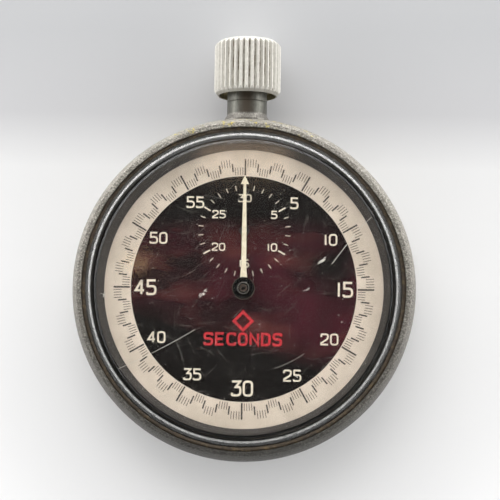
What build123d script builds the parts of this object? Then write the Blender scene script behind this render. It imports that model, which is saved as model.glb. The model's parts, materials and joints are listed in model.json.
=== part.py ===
from build123d import *
from math import atan2, cos, degrees, hypot, radians, sin, sqrt
import os

# A thirty-minute mechanical stopwatch, lying on its back.
# Origin at the centre of the case back's outer face, +Z out through the dial, +Y towards the crown.
# All sizes are in millimetres.

# Driving dimensions: case and dial
CASE_RADIUS = 28.5
CASE_TOP = 12.0
BORE_RADIUS = 24.0
CRYSTAL_SEAT = 10.0
CRYSTAL_RADIUS = 26.1
CRYSTAL_WALL = 1.4
CRYSTAL_TOP = 14.8
CRYSTAL_THICK = 1.4
GASKET_LOW = 10.9
GASKET_TOP = 11.2
LIP_INNER = 26.78
LIP_OUTER = 27.5
BACK_THICK = 0.9
BACK_RADIUS = 25.6
DIAL_LOW = 8.9
DIAL_TOP = 9.3
DIAL_RADIUS = 23.6
FLANGE_OPENING = 23.15
STEM_Z = 6.0

# Crown and neck, as radii and distances along Y
CROWN_RADIUS = 5.65
CROWN_LOW = 33.0
CROWN_HIGH = 42.4
CROWN_RIM = 5.0
CROWN_RECESS = 34.0
CROWN_CAVITY = 3.75
CROWN_FLOOR = 37.2
FLUTES = 36
FLUTE_DEPTH = 0.5
NECK_RADIUS = 3.38
NECK_TOP = 35.2
NECK_FLOOR = 29.2
NECK_BORE = 2.7
COLLAR_RADIUS = 3.9
COLLAR_LOW = 26.5
SEAL_GROOVE = (34.3, 34.7)
STEM_RADIUS = 1.2
STEM_TOP = 40.2
STEM_COLLAR = (19.9, 20.5)
SPRING_WIRE = 0.22
SPRING_FOOT = NECK_FLOOR + SPRING_WIRE + 0.08
SPRING_LENGTH = CROWN_FLOOR - 0.08 - SPRING_WIRE - SPRING_FOOT

# Movement heights
PLATE_LOW = 6.6
PLATE_TOP = 7.5
PLATE_RADIUS = 22.0
BRIDGE_LOW = 2.3
BRIDGE_TOP = 3.3
LEVER_LOW = 1.85
LEVER_TOP = 2.2
HAMMER_LOW = 8.4
HAMMER_TOP = 8.7
JEWEL_RADIUS = 0.62
PIVOT_GAP = 0.04

# Gear modules and tooth counts
BARREL_MODULE = 0.22
GREAT_MODULE = 0.16
THIRD_MODULE = 0.14
WINDING_MODULE = 0.28
COUNTER_DRIVE_MODULE = 0.16
COUNTER_MODULE = 0.15
BARREL_TEETH = 80
GREAT_TEETH = 80
THIRD_TEETH = 75
SECONDS_TEETH = 70
ESCAPE_LEAVES = 7
LEAVES = 10
CROWN_WHEEL_TEETH = 30
RATCHET_TEETH = 44
WINDING_LEAVES = 12
INTERMEDIATE_TEETH = 50
MINUTE_TEETH = 60
ESCAPE_TEETH = 15
ESCAPE_RADIUS = 2.6
WHEEL_SHARE = 0.40
LEAF_SHARE = 0.31

UPRIGHT = (Align.CENTER, Align.CENTER, Align.MIN)


# ---------------------------------------------------------------- helpers

def spot(radius, degree, centre=(0, 0)):
    """The point at a radius and direction from a centre."""
    return (centre[0] + radius * cos(radians(degree)), centre[1] + radius * sin(radians(degree)))


def apart(teeth_a, teeth_b, module):
    """The centre distance of a gear pair."""
    return (teeth_a + teeth_b) * module / 2


def meet(a, radius_a, b, radius_b, side):
    """The point at given distances from two centres, to one side of the line between them."""
    span = hypot(b[0] - a[0], b[1] - a[1])
    forward = (radius_a ** 2 - radius_b ** 2 + span ** 2) / (2 * span)
    aside = side * sqrt(radius_a ** 2 - forward ** 2)
    ux, uy = (b[0] - a[0]) / span, (b[1] - a[1]) / span
    return (a[0] + forward * ux - aside * uy, a[1] + forward * uy + aside * ux)


def disc(radius, low, high, at=(0, 0), bore=0):
    """A round plate between two heights, with an optional bore."""
    plate = Pos(at[0], at[1], low) * Cylinder(radius, high - low, align=UPRIGHT)
    if bore:
        plate -= Pos(at[0], at[1], low) * Cylinder(bore, high - low, align=UPRIGHT)
    return plate


def turned(profile, at=(0, 0)):
    """A lathe-turned solid from a closed profile of (radius, height) points."""
    face = make_face(Plane.XZ * Polyline(*profile, close=True))
    return Pos(at[0], at[1], 0) * revolve(face, Axis.Z)


def arbor(at, bottom, *steps):
    """A turned arbor; each step is its radius and the height where it ends."""
    profile = [(0, bottom)]
    low = bottom
    for radius, top in steps:
        profile += [(radius, low), (radius, top)]
        low = top
    profile.append((0, low))
    return turned(profile, at)


def raised(face, low, high, at=(0, 0)):
    """A flat outline extruded between two heights."""
    return Pos(at[0], at[1], low) * extrude(face, high - low, dir=(0, 0, 1))


def toothed(teeth, root, pitch, tip, share, phase):
    """The outline of a toothed wheel with one tooth centred at the phase angle, in degrees."""
    step = 360 / teeth
    half = share * step / 2
    points = []
    for n in range(teeth):
        middle = phase + n * step
        points += [spot(root, middle - half), spot(pitch, middle - half), spot(tip, middle)]
        points += [spot(pitch, middle + half), spot(root, middle + half)]
    return make_face(Polyline(*points, close=True))


def wheel_outline(teeth, module, phase):
    """A wheel with ogival teeth."""
    pitch = teeth * module / 2
    return toothed(teeth, pitch - 1.25 * module, pitch, pitch + module, WHEEL_SHARE, phase)


def leaf_outline(teeth, module, phase):
    """A pinion with slim leaves."""
    pitch = teeth * module / 2
    return toothed(teeth, pitch - 1.3 * module, pitch, pitch + 0.65 * module, LEAF_SHARE, phase)


def crossed(outline, rim, hub, bore, spokes, width):
    """A wheel outline pierced to leave a rim, a hub and straight spokes."""
    web = Circle(hub)
    for n in range(spokes):
        web += Rot(0, 0, 180 * n / spokes) * Rectangle(2 * rim + 0.1, width)
    return outline - (Circle(rim) - web) - Circle(bore)


def meshed(centre_a, teeth_a, phase_a, centre_b, teeth_b):
    """The phase that puts a gap of gear B over a tooth of gear A."""
    line = degrees(atan2(centre_b[1] - centre_a[1], centre_b[0] - centre_a[0]))
    turn = ((line - phase_a) * teeth_a / 360) % 1
    return line + 180 - (0.5 - turn) * 360 / teeth_b


def limb(path, radii):
    """A flat lever outline: straight tapered runs between round ends."""
    ends = [Pos(x, y) * Circle(r) for (x, y), r in zip(path, radii)]
    outline = make_hull(ends[0].edges() + ends[1].edges())
    for first, second in zip(ends[1:], ends[2:]):
        outline += make_hull(first.edges() + second.edges())
    return outline


def between(low, high):
    """A rectangle between two opposite corners."""
    return Pos((low[0] + high[0]) / 2, (low[1] + high[1]) / 2) * Rectangle(high[0] - low[0], high[1] - low[1])


def spiral_strip(inner, growth, half_turns, thick):
    """A flat spiral strip made of half circles about two alternate centres."""
    near_side, far_side = [], []
    for n in range(half_turns):
        centre = (0, 0) if n % 2 == 0 else (growth, 0)
        start = 0 if n % 2 == 0 else 180
        radius = inner + n * growth
        near_side.append(CenterArc(centre, radius - thick / 2, start, 180))
        far_side.append(CenterArc(centre, radius + thick / 2, start, 180))
    first_end = Line((inner - thick / 2, 0), (inner + thick / 2, 0))
    last_end = Line(near_side[-1] @ 1, far_side[-1] @ 1)
    return make_face([*near_side, *far_side, first_end, last_end])


def on_stem(shape):
    """Lays a shape built about Z along the stem axis, its height becoming the distance along Y."""
    return Pos(0, 0, STEM_Z) * Rot(-90, 0, 0) * shape


def joined(shapes):
    """The union of a list of shapes."""
    total = shapes[0]
    for shape in shapes[1:]:
        total += shape
    return total


# ---------------------------------------------------------------- layout of the movement

CENTRE = (0, 0)
THIRD = spot(apart(THIRD_TEETH, LEAVES, THIRD_MODULE), -67.5)
GREAT = spot(apart(GREAT_TEETH, LEAVES, GREAT_MODULE), 30.5, THIRD)
BARREL = spot(apart(BARREL_TEETH, LEAVES, BARREL_MODULE), 85, GREAT)
ESCAPE = spot(apart(SECONDS_TEETH, ESCAPE_LEAVES, THIRD_MODULE), 210)
ESCAPE_LINE = 220
PALLET = spot(3.0, ESCAPE_LINE, ESCAPE)
BALANCE = spot(3.9, ESCAPE_LINE, PALLET)
COUNTER = (0, 9.6)
INTERMEDIATE = meet(CENTRE, apart(LEAVES, INTERMEDIATE_TEETH, COUNTER_DRIVE_MODULE),
                    COUNTER, apart(LEAVES, MINUTE_TEETH, COUNTER_MODULE), 1)
WINDING_SPAN = apart(CROWN_WHEEL_TEETH, RATCHET_TEETH, WINDING_MODULE)
CROWN_WHEEL = (0, BARREL[1] + sqrt(WINDING_SPAN ** 2 - BARREL[0] ** 2))
COLUMN_WHEEL = (-12.5, 6.5)
OPERATING_PIVOT = (-8.2, 17.0)
BRAKE_PIVOT = (-17.5, 4.8)
HAMMER_PIVOT = (-8.0, 4.8)
CLICK_PIVOT = spot(8.6, 35, BARREL)

BARREL_PILLARS = [(19.6, 4.6), (3.6, 20.0), (-3.2, 6.2)]
TRAIN_PILLARS = [(16.5, -9.0), (6.0, -18.5), (-3.0, -14.0), (-7.5, 1.5)]
OPERATING_PILLARS = [(-16.5, 9.5), (-7.5, 18.5)]
PALLET_PILLARS = [spot(3.2, ESCAPE_LINE + 90, PALLET), spot(3.2, ESCAPE_LINE - 90, PALLET)]
CLAMP_ANGLES = [160, 280, 340]

DIAL_FEET = [spot(19.5, 60), spot(19.5, 240)]
COLUMN_JUMPER_FOOT = (-18.2, 10.2)
COCK_HEADING = degrees(atan2(BALANCE[1], BALANCE[0]))
COCK_SCREWS = [spot(20.1, COCK_HEADING + side) for side in (-6.6, 6.6)]
HAIRSPRING_INNER = 0.8
HAIRSPRING_GROWTH = 0.11
HAIRSPRING_HALF_TURNS = 22
HAIRSPRING_OUTER = HAIRSPRING_INNER + HAIRSPRING_GROWTH * HAIRSPRING_HALF_TURNS
HAIRSPRING_STUD = spot(HAIRSPRING_OUTER + 0.2, COCK_HEADING, BALANCE)

GREAT_PIVOT = 0.35
THIRD_PIVOT = 0.25
FINE_PIVOT = 0.2
SECONDS_PIVOT = 0.3
SECONDS_SHAFT = 0.5
HAND_TUBE = 0.62

pieces = {}


# ---------------------------------------------------------------- case

def dome(crown_height, edge, radius):
    """The height at a radius of a spherical dome through its crown and an edge point."""
    drop = crown_height - edge[1]
    sphere = (edge[0] ** 2 + drop ** 2) / (2 * drop)
    return crown_height - sphere + sqrt(sphere ** 2 - radius ** 2)


def case_body():
    """The round case middle with its rim, crystal seat and neck opening."""
    outline = [
        Line((BORE_RADIUS, BACK_THICK), (26.0, BACK_THICK)),
        ThreePointArc((26.0, BACK_THICK), (27.75, 2.5), (CASE_RADIUS, 5.2)),
        Line((CASE_RADIUS, 5.2), (CASE_RADIUS, 8.6)),
        ThreePointArc((CASE_RADIUS, 8.6), (28.3, 10.6), (LIP_OUTER, CASE_TOP)),
        Line((LIP_OUTER, CASE_TOP), (LIP_INNER + 0.13, CASE_TOP)),
        ThreePointArc((LIP_INNER + 0.13, CASE_TOP), (LIP_INNER + 0.03, 11.95), (LIP_INNER, 11.85)),
        Polyline((LIP_INNER, 11.85), (LIP_INNER, GASKET_LOW), (CRYSTAL_RADIUS + 0.05, GASKET_LOW),
                 (CRYSTAL_RADIUS + 0.05, CRYSTAL_SEAT), (BORE_RADIUS, CRYSTAL_SEAT), (BORE_RADIUS, BACK_THICK)),
    ]
    body = revolve(make_face([Plane.XZ * edge for edge in outline]), Axis.Z)
    body -= on_stem(disc(NECK_BORE - 0.05, 20, 30))
    body -= on_stem(disc(COLLAR_RADIUS, COLLAR_LOW, 30))
    return body


def case_back():
    """The pressed-on back, with a pry notch in its edge."""
    back = turned([(0, 0), (BACK_RADIUS - 1, 0), (BACK_RADIUS, 0.5), (BACK_RADIUS, BACK_THICK),
                   (BORE_RADIUS - 0.05, BACK_THICK), (BORE_RADIUS - 0.05, 2.2), (BORE_RADIUS - 0.8, 2.2),
                   (BORE_RADIUS - 0.8, BACK_THICK), (0, BACK_THICK)])
    return back - Pos(0, -BACK_RADIUS, 0.25) * Box(4.0, 1.2, 0.5)


def crystal():
    """The domed plastic crystal with its standing wall and broad rounded shoulder."""
    wall = CRYSTAL_RADIUS - CRYSTAL_WALL
    shoulder = (24.5, 13.8)
    inner_top = CRYSTAL_TOP - CRYSTAL_THICK
    inner_edge = (23.7, 12.45)
    outline = [
        Line((wall, CRYSTAL_SEAT), (CRYSTAL_RADIUS, CRYSTAL_SEAT)),
        Line((CRYSTAL_RADIUS, CRYSTAL_SEAT), (CRYSTAL_RADIUS, 12.06)),
        ThreePointArc((CRYSTAL_RADIUS, 12.06), (25.59, 13.29), shoulder),
        ThreePointArc(shoulder, (12.5, dome(CRYSTAL_TOP, shoulder, 12.5)), (0, CRYSTAL_TOP)),
        Line((0, CRYSTAL_TOP), (0, inner_top)),
        ThreePointArc((0, inner_top), (12.0, dome(inner_top, inner_edge, 12.0)), inner_edge),
        ThreePointArc(inner_edge, (24.4, 12.2), (wall, 11.6)),
        Line((wall, 11.6), (wall, CRYSTAL_SEAT)),
    ]
    return revolve(make_face([Plane.XZ * edge for edge in outline]), Axis.Z)


def pendant_tube():
    """The neck: a plug in the case wall, a flared collar and a bored tube that runs up inside the crown."""
    groove_low, groove_high = SEAL_GROOVE
    bore = STEM_RADIUS + 0.07
    tube = turned([(bore, 24.3), (2.6, 24.3), (2.6, COLLAR_LOW), (COLLAR_RADIUS - 0.02, COLLAR_LOW),
                   (COLLAR_RADIUS - 0.02, 28.8), (3.6, 29.2), (NECK_RADIUS, 29.6), (NECK_RADIUS, 31.75),
                   (NECK_RADIUS - 0.08, 31.84), (NECK_RADIUS, 31.93), (NECK_RADIUS, groove_low - 0.05),
                   (3.0, groove_low), (3.0, groove_high), (NECK_RADIUS, groove_high + 0.05),
                   (NECK_RADIUS, NECK_TOP - 0.2), (3.2, NECK_TOP), (NECK_BORE, NECK_TOP),
                   (NECK_BORE, NECK_FLOOR), (bore, NECK_FLOOR)])
    return on_stem(tube)


def crown_spring():
    """The coil spring that returns the crown, five turns of round wire."""
    coil = Helix(pitch=SPRING_LENGTH / 5, height=SPRING_LENGTH, radius=1.95)
    wire = Plane(origin=coil @ 0, z_dir=coil % 0) * Circle(SPRING_WIRE)
    return on_stem(Pos(0, 0, SPRING_FOOT) * sweep(wire, path=coil, is_frenet=True))


pieces["case_body"] = case_body()
pieces["case_back"] = case_back()
pieces["crystal"] = crystal()
pieces["crystal_gasket"] = disc(LIP_INNER - 0.03, GASKET_LOW, GASKET_TOP, bore=CRYSTAL_RADIUS + 0.05)
pieces["flange_ring"] = turned([(FLANGE_OPENING, DIAL_TOP), (23.9, DIAL_TOP), (23.9, CRYSTAL_SEAT),
                                (24.65, CRYSTAL_SEAT), (24.65, 10.9), (24.45, 10.9), (FLANGE_OPENING, 9.45)])
pieces["pendant_tube"] = pendant_tube()
pieces["pendant_gasket"] = on_stem(disc(3.65, SEAL_GROOVE[0] + 0.02, SEAL_GROOVE[1] - 0.02, bore=3.0))
pieces["crown_spring"] = crown_spring()


# ---------------------------------------------------------------- crown and stem

def crown():
    """The crown: V flutes with narrow lands, bevelled at both ends, over a recessed rim and a deep cavity."""
    points = []
    for n in range(FLUTES):
        middle = n * 360 / FLUTES
        points += [spot(CROWN_RADIUS, middle - 1), spot(CROWN_RADIUS, middle + 1)]
        points.append(spot(CROWN_RADIUS - FLUTE_DEPTH, middle + 180 / FLUTES))
    fluted = raised(make_face(Polyline(*points, close=True)), CROWN_LOW, CROWN_HIGH)
    envelope = turned([(0, CROWN_LOW), (CROWN_RIM, CROWN_LOW), (CROWN_RADIUS, CROWN_LOW + 0.85),
                       (CROWN_RADIUS, CROWN_HIGH - 0.9), (5.4, CROWN_HIGH - 0.55), (4.8, CROWN_HIGH - 0.08),
                       (4.3, CROWN_HIGH), (0, CROWN_HIGH)])
    knob = fluted & envelope
    knob -= disc(CROWN_RIM - 0.2, CROWN_LOW, CROWN_RECESS)
    knob -= disc(CROWN_CAVITY, CROWN_RECESS, CROWN_FLOOR)
    knob -= disc(STEM_RADIUS, CROWN_FLOOR, STEM_TOP)
    return on_stem(knob)


def winding_stem():
    """The stem: pressed in the crown, with a collar that pushes the lever and a square end."""
    square_low, square_top = 13.9, 18.45
    stem = arbor(CENTRE, square_top, (0.9, STEM_COLLAR[0]), (1.45, STEM_COLLAR[1]), (STEM_RADIUS, STEM_TOP))
    stem += Pos(0, 0, square_low) * Box(1.1, 1.1, square_top - square_low, align=UPRIGHT)
    return on_stem(stem)


def winding_pinion():
    """The sliding-fit pinion on the stem's square, gearing with the crown wheel's face teeth."""
    # A gap faces the crown wheel, below the stem, which is the +Y side before it is laid down.
    outline = toothed(WINDING_LEAVES, 1.14, 1.44, 1.66, LEAF_SHARE, 90 + 180 / WINDING_LEAVES)
    return on_stem(raised(outline - Rectangle(1.2, 1.2), 15.4, 16.8))


pieces["crown"] = crown()
pieces["winding_stem"] = winding_stem()
pieces["winding_pinion"] = winding_pinion()


# ---------------------------------------------------------------- frame of the movement

def screw(at, low=BRIDGE_LOW, tip=5.8):
    """A cheese-head screw sunk in a bridge, slotted towards the back."""
    body = disc(0.85, low, low + 0.35, at) + disc(0.45, low + 0.35, tip, at)
    return body - Pos(at[0], at[1], low) * Box(1.8, 0.22, 0.3)


def screw_hole(at, low=BRIDGE_LOW, tip=5.8):
    """The stepped hole that holds a screw."""
    return disc(0.85, low, low + 0.35, at) + disc(0.45, low + 0.35, tip, at)


def jewel(at, low, bore):
    """A ring jewel 0.5 thick."""
    return disc(JEWEL_RADIUS, low, low + 0.5, at, bore=bore + PIVOT_GAP)


def pillared(outline, pillars, holes):
    """A bridge plate with pillars up to the main plate, its screw holes and its pivot holes."""
    bridge = raised(outline, BRIDGE_LOW, BRIDGE_TOP)
    for place in pillars:
        bridge += disc(1.3, BRIDGE_TOP - 0.2, PLATE_LOW, place)
    for place in pillars:
        bridge -= screw_hole(place)
    for place, radius in holes:
        bridge -= disc(radius, BRIDGE_LOW, BRIDGE_TOP, place)
    return bridge


JEWELS_LOW = [(THIRD, THIRD_PIVOT), (CENTRE, SECONDS_PIVOT), (ESCAPE, FINE_PIVOT)]
JEWELS_HIGH = [(THIRD, THIRD_PIVOT), (ESCAPE, FINE_PIVOT), (PALLET, FINE_PIVOT), (BALANCE, FINE_PIVOT)]


def main_plate():
    """The main plate, cleared for the stem, the winding pinion and the stem's collar."""
    plate = disc(PLATE_RADIUS, PLATE_LOW, PLATE_TOP)
    for place, pivot in JEWELS_HIGH:
        plate -= disc(JEWEL_RADIUS, PLATE_LOW, PLATE_TOP, place)
    plate -= disc(GREAT_PIVOT + PIVOT_GAP, PLATE_LOW, PLATE_TOP, GREAT)
    plate -= disc(0.8 + PIVOT_GAP, PLATE_LOW, PLATE_TOP, BARREL)
    plate -= disc(SECONDS_SHAFT + PIVOT_GAP, PLATE_LOW, PLATE_TOP)
    plate -= disc(0.3 + PIVOT_GAP, PLATE_LOW, PLATE_TOP, COUNTER)
    plate -= disc(0.3 + PIVOT_GAP, PLATE_LOW, PLATE_TOP, INTERMEDIATE)
    for place in DIAL_FEET:
        plate -= disc(0.55, PLATE_LOW, PLATE_TOP, place)
    plate -= on_stem(disc(1.3, 12.2, 23))
    plate -= on_stem(disc(1.8, 15.3, 16.9))
    plate -= on_stem(disc(1.6, 18.2, 20.7))
    return plate


def barrel_bridge():
    """The bridge over the barrel, with a slot for the operating lever's tab."""
    outline = Circle(21.9) & between((-4.6, 3.2), (22, 22))
    outline -= between((-0.7, 17.4), (1.1, 20.3))
    bridge = pillared(outline, BARREL_PILLARS, [(BARREL, 0.9 + PIVOT_GAP)])
    bridge += disc(1.45, BRIDGE_TOP, 4.0, CROWN_WHEEL)
    bridge += disc(0.5, BRIDGE_TOP, 4.0, CLICK_PIVOT)
    for place in (CROWN_WHEEL, CLICK_PIVOT):
        bridge -= disc(0.3, 3.0, 4.0, place)
    return bridge


def train_bridge():
    """The bridge over the going train, cut round the balance."""
    outline = Circle(21.9) & between((-9.3, -22), (22, 2.9))
    outline -= Pos(*BALANCE) * Circle(6.0)
    holes = [(place, JEWEL_RADIUS) for place, pivot in JEWELS_LOW]
    return pillared(outline, TRAIN_PILLARS, holes + [(GREAT, GREAT_PIVOT + PIVOT_GAP)])


def balance_cock():
    """The one-footed cock over the balance, with the hairspring's stud."""
    foot = Rot(0, 0, COCK_HEADING) * Pos(20.1, 0) * Rectangle(2.6, 8.0)
    arm = make_hull((Pos(*BALANCE) * Circle(2.2)).edges() + foot.edges())
    cock = raised(arm, 2.1, 3.0) + raised(foot, 3.0, PLATE_LOW)
    cock += disc(0.22, 3.0, 3.42, HAIRSPRING_STUD)
    cock -= disc(JEWEL_RADIUS, 2.1, 3.0, BALANCE)
    for place in COCK_SCREWS:
        cock -= screw_hole(place, 2.1)
    return cock


def pallet_bridge():
    """The small bridge under the pallet arbor, on two posts."""
    bridge = raised(limb([PALLET_PILLARS[0], PALLET, PALLET_PILLARS[1]], [0.8, 0.9, 0.8]), 4.3, 4.6)
    for place in PALLET_PILLARS:
        bridge += disc(0.7, 4.6, PLATE_LOW, place)
    return bridge - disc(FINE_PIVOT + PIVOT_GAP, 4.3, 4.6, PALLET)


def operating_bridge():
    """The bridge that carries the column wheel and the operating levers."""
    outline = Circle(21.9) & between((-22, 3.2), (-5.0, 22))
    bridge = pillared(outline, OPERATING_PILLARS, [])
    for place in (COLUMN_WHEEL, OPERATING_PIVOT, BRAKE_PIVOT):
        bridge -= disc(0.4, BRIDGE_LOW, BRIDGE_TOP, place)
    return bridge - Pos(*COLUMN_JUMPER_FOOT, 2.8) * Cylinder(0.4, 1.0)


def bridge_screws():
    """Every screw of the bridges and the cock, with the crown wheel's and click's."""
    screws = [screw(place) for place in BARREL_PILLARS + TRAIN_PILLARS + OPERATING_PILLARS]
    screws += [screw(place, 2.1) for place in COCK_SCREWS]
    screws.append(disc(2.2, 4.0, 4.25, CROWN_WHEEL) + disc(0.3, 3.0, 4.0, CROWN_WHEEL))
    screws.append(disc(0.9, 4.0, 4.25, CLICK_PIVOT) + disc(0.3, 3.0, 4.0, CLICK_PIVOT))
    return joined(screws)


def jewels():
    """The bearing jewels of the bridges, the cock and the main plate."""
    stones = [jewel(place, BRIDGE_TOP - 0.5, pivot) for place, pivot in JEWELS_LOW]
    stones += [jewel(place, PLATE_LOW, pivot) for place, pivot in JEWELS_HIGH]
    stones.append(jewel(BALANCE, 2.5, FINE_PIVOT))
    return joined(stones)


def movement_ring():
    """The ring that centres the movement in the case and carries the dial."""
    ring = turned([(22.05, 2.2), (23.6, 2.2), (23.6, DIAL_LOW), (21.4, DIAL_LOW), (21.4, PLATE_TOP),
                   (22.05, PLATE_TOP), (22.05, PLATE_LOW), (22.8, PLATE_LOW), (22.8, 6.05), (22.05, 6.05)])
    return ring - on_stem(disc(1.6, 20, 25))


def casing_clamps():
    """Clamp plates and their screws, which hold the main plate in the ring."""
    clamps = []
    for angle in CLAMP_ANGLES:
        tab = Rot(0, 0, angle) * Pos(21.2, 0, 6.1) * Box(3.0, 1.8, 0.5, align=UPRIGHT)
        clamps.append(tab + disc(0.6, 5.75, 6.1, spot(20.6, angle)))
    return joined(clamps)


pieces["movement_ring"] = movement_ring()
pieces["main_plate"] = main_plate()
pieces["barrel_bridge"] = barrel_bridge()
pieces["train_bridge"] = train_bridge()
pieces["balance_cock"] = balance_cock()
pieces["pallet_bridge"] = pallet_bridge()
pieces["operating_bridge"] = operating_bridge()
pieces["bridge_screws"] = bridge_screws()
pieces["jewels"] = jewels()
pieces["casing_clamps"] = casing_clamps()


# ---------------------------------------------------------------- dial

def dial():
    """The dial blank with its two feet, its centre hole and the minute counter's hole."""
    plate = disc(DIAL_RADIUS, DIAL_LOW, DIAL_TOP, bore=0.9) - disc(0.8, DIAL_LOW, DIAL_TOP, COUNTER)
    for place in DIAL_FEET:
        plate += disc(0.5, 6.9, DIAL_LOW, place)
    return plate


pieces["dial"] = dial()


# ---------------------------------------------------------------- winding work

CROWN_WHEEL_PHASE = 90
RATCHET_PHASE = meshed(CROWN_WHEEL, CROWN_WHEEL_TEETH, CROWN_WHEEL_PHASE, BARREL, RATCHET_TEETH)


def crown_wheel():
    """The crown wheel: spur teeth for the ratchet wheel, face teeth for the winding pinion."""
    wheel = raised(wheel_outline(CROWN_WHEEL_TEETH, WINDING_MODULE, CROWN_WHEEL_PHASE) - Circle(1.5), 3.5, 3.95)
    wheel += disc(3.85, 3.95, 4.2, bore=3.3)
    crown_ring = disc(3.85, 4.2, 4.76, bore=3.3)
    bars = []
    for n in range(CROWN_WHEEL_TEETH):
        bars.append(Rot(0, 0, 90 + n * 360 / CROWN_WHEEL_TEETH) * Pos(3.6, 0, 4.2)
                    * Box(1.2, 0.3, 0.6, align=UPRIGHT))
    wheel += crown_ring & joined(bars)
    return Pos(*CROWN_WHEEL, 0) * wheel


def ratchet_wheel():
    """The ratchet wheel on the barrel arbor."""
    outline = wheel_outline(RATCHET_TEETH, WINDING_MODULE, RATCHET_PHASE)
    return raised(outline - Circle(1.3), 3.5, 3.95, BARREL)


def click():
    """The click, its beak resting just outside the ratchet teeth."""
    beak = spot(RATCHET_TEETH * WINDING_MODULE / 2 + WINDING_MODULE + 0.42, 58, BARREL)
    outline = limb([CLICK_PIVOT, beak], [1.0, 0.3])
    return raised(outline, 3.5, 3.95) - disc(0.55, 3.5, 3.95, CLICK_PIVOT)


def click_spring():
    """A bent wire spring beside the click, held in the barrel bridge."""
    path = [spot(9.6, 88, BARREL), spot(9.3, 76, BARREL), spot(9.3, 66, BARREL)]
    return raised(limb(path, [0.5, 0.14, 0.14]), BRIDGE_TOP, 3.9)


pieces["crown_wheel"] = crown_wheel()
pieces["ratchet_wheel"] = ratchet_wheel()
pieces["click"] = click()
pieces["click_spring"] = click_spring()


# ---------------------------------------------------------------- barrel

BARREL_PHASE = 0
DRUM_LOW = 4.85
DRUM_RADIUS = 8.25
DRUM_CAVITY = 7.85


def barrel_drum():
    """The toothed barrel, a cup closed by its lid on the ratchet side."""
    drum = disc(DRUM_RADIUS, DRUM_LOW, 6.25) - disc(DRUM_CAVITY, DRUM_LOW, 5.8)
    teeth = wheel_outline(BARREL_TEETH, BARREL_MODULE, BARREL_PHASE) - Circle(DRUM_RADIUS - 0.1)
    drum += raised(teeth, 5.75, 6.15)
    return Pos(*BARREL, 0) * (drum - disc(1.05, 5.8, 6.25))


pieces["barrel_arbor"] = arbor(BARREL, 2.35, (0.9, 3.4), (1.6, 3.5), (1.3, 3.95), (1.0, 5.14), (2.0, 5.76),
                               (1.0, 6.55), (0.8, 7.2))
pieces["barrel_drum"] = barrel_drum()
pieces["barrel_lid"] = disc(DRUM_CAVITY, DRUM_LOW, 5.1, BARREL, bore=1.05)
pieces["mainspring"] = raised(spiral_strip(2.35, 0.24, 22, 0.16), 5.16, 5.74, BARREL)


# ---------------------------------------------------------------- going train

GREAT_LEAF_PHASE = meshed(BARREL, BARREL_TEETH, BARREL_PHASE, GREAT, LEAVES)
GREAT_PHASE = 0
THIRD_LEAF_PHASE = meshed(GREAT, GREAT_TEETH, GREAT_PHASE, THIRD, LEAVES)
THIRD_PHASE = 0
SECONDS_LEAF_PHASE = meshed(THIRD, THIRD_TEETH, THIRD_PHASE, CENTRE, LEAVES)
SECONDS_PHASE = 0
ESCAPE_LEAF_PHASE = meshed(CENTRE, SECONDS_TEETH, SECONDS_PHASE, ESCAPE, ESCAPE_LEAVES)


def train_wheel(teeth, module, phase, hub, bore, low, high, at):
    """A four-spoked brass train wheel."""
    rim = teeth * module / 2 - 1.25 * module - 0.35
    return raised(crossed(wheel_outline(teeth, module, phase), rim, hub, bore, 2, 0.5), low, high, at)


def leaves(teeth, module, phase, low, high, at):
    """The leaves cut on an arbor."""
    return raised(leaf_outline(teeth, module, phase), low, high, at)


pieces["great_wheel"] = train_wheel(GREAT_TEETH, GREAT_MODULE, GREAT_PHASE, 1.3, 0.6, 4.1, 4.3, GREAT)
pieces["great_arbor"] = (arbor(GREAT, 2.4, (GREAT_PIVOT, 3.35), (0.6, 6.5), (GREAT_PIVOT, 7.2))
                         + leaves(LEAVES, BARREL_MODULE, GREAT_LEAF_PHASE, 5.6, 6.3, GREAT))
pieces["third_wheel"] = train_wheel(THIRD_TEETH, THIRD_MODULE, THIRD_PHASE, 1.1, 0.45, 5.3, 5.5, THIRD)
pieces["third_arbor"] = (arbor(THIRD, 2.7, (THIRD_PIVOT, 3.35), (0.45, 6.5), (THIRD_PIVOT, 7.2))
                         + leaves(LEAVES, GREAT_MODULE, THIRD_LEAF_PHASE, 3.95, 4.45, THIRD))


DRIVE_LEAF_PHASE = 0
INTERMEDIATE_PHASE = meshed(CENTRE, LEAVES, DRIVE_LEAF_PHASE, INTERMEDIATE, INTERMEDIATE_TEETH)
COUNTER_LEAF_PHASE = 0
MINUTE_PHASE = meshed(INTERMEDIATE, LEAVES, COUNTER_LEAF_PHASE, COUNTER, MINUTE_TEETH)


def seconds_arbor():
    """The long arbor through the dial, with a driven pinion and the counter's driving pinion."""
    shaft = arbor(CENTRE, 2.7, (SECONDS_PIVOT, 3.35), (SECONDS_SHAFT, 10.1), (HAND_TUBE, 10.95))
    shaft += leaves(LEAVES, THIRD_MODULE, SECONDS_LEAF_PHASE, 5.15, 5.65, CENTRE)
    shaft += leaves(LEAVES, COUNTER_DRIVE_MODULE, DRIVE_LEAF_PHASE, 7.55, 7.85, CENTRE)
    return shaft - disc(0.32, 10.4, 10.95)


pieces["seconds_arbor"] = seconds_arbor()
pieces["seconds_wheel"] = train_wheel(SECONDS_TEETH, THIRD_MODULE, SECONDS_PHASE, 1.2, SECONDS_SHAFT,
                                      3.5, 3.7, CENTRE)


# ---------------------------------------------------------------- escapement and balance

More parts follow.
